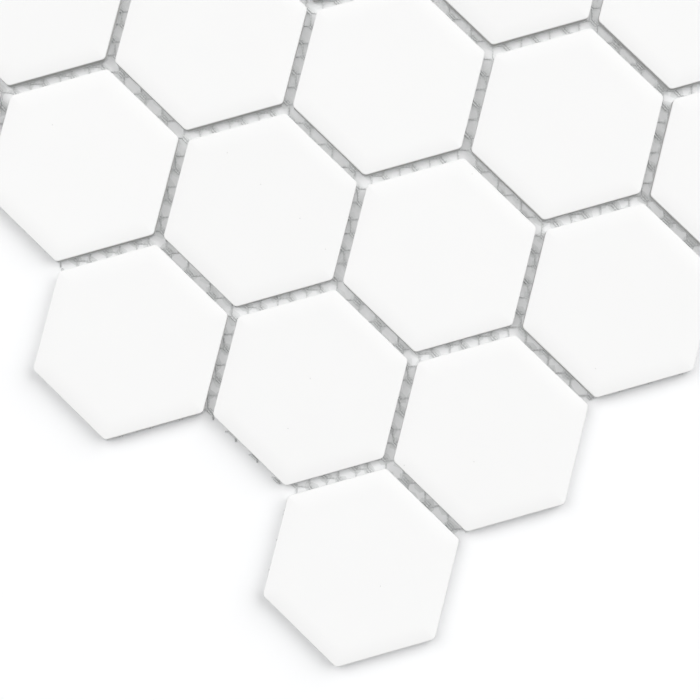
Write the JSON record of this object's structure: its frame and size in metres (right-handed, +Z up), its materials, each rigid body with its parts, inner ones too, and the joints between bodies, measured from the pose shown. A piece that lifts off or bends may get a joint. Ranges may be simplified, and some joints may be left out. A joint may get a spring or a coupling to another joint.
{
  "type": "hexagon mosaic floor tile sheet",
  "caption": "Flat sheet of matt white hexagonal porcelain floor tiles, held at an even joint by a knitted net bonded to their backs, for laying in adhesive and grouting.",
  "frame": {"origin": "middle of the sheet's box, on the floor that it lies on", "axes": "+X along the rows of tiles, +Y across the rows, +Z up, out of the tiles' faces"},
  "size_m": [0.348, 0.2928, 0.0036],
  "materials": {
    "porcelain": "dust-pressed porcelain: matt white closed face with an eased rim, greyer bare body on the walls and the back",
    "net": "knitted polyester net, greyed by the adhesive that stiffens it"
  },
  "bodies": {
    "root": {"net_backing": "net", "tile_row1_col1": "porcelain", "tile_row1_col2": "porcelain", "tile_row1_col3": "porcelain", "tile_row1_col4": "porcelain", "tile_row1_col5": "porcelain", "tile_row1_col6": "porcelain", "tile_row2_col1": "porcelain", "tile_row2_col2": "porcelain", "tile_row2_col3": "porcelain", "tile_row2_col4": "porcelain", "tile_row2_col5": "porcelain", "tile_row2_col6": "porcelain", "tile_row3_col1": "porcelain", "tile_row3_col2": "porcelain", "tile_row3_col3": "porcelain", "tile_row3_col4": "porcelain", "tile_row3_col5": "porcelain", "tile_row3_col6": "porcelain", "tile_row4_col1": "porcelain", "tile_row4_col2": "porcelain", "tile_row4_col3": "porcelain", "tile_row4_col4": "porcelain", "tile_row4_col5": "porcelain", "tile_row4_col6": "porcelain", "tile_row5_col1": "porcelain", "tile_row5_col2": "porcelain", "tile_row5_col3": "porcelain", "tile_row5_col4": "porcelain", "tile_row5_col5": "porcelain", "tile_row5_col6": "porcelain", "tile_row6_col1": "porcelain", "tile_row6_col2": "porcelain", "tile_row6_col3": "porcelain", "tile_row6_col4": "porcelain", "tile_row6_col5": "porcelain", "tile_row6_col6": "porcelain"}
  },
  "joints": []
}
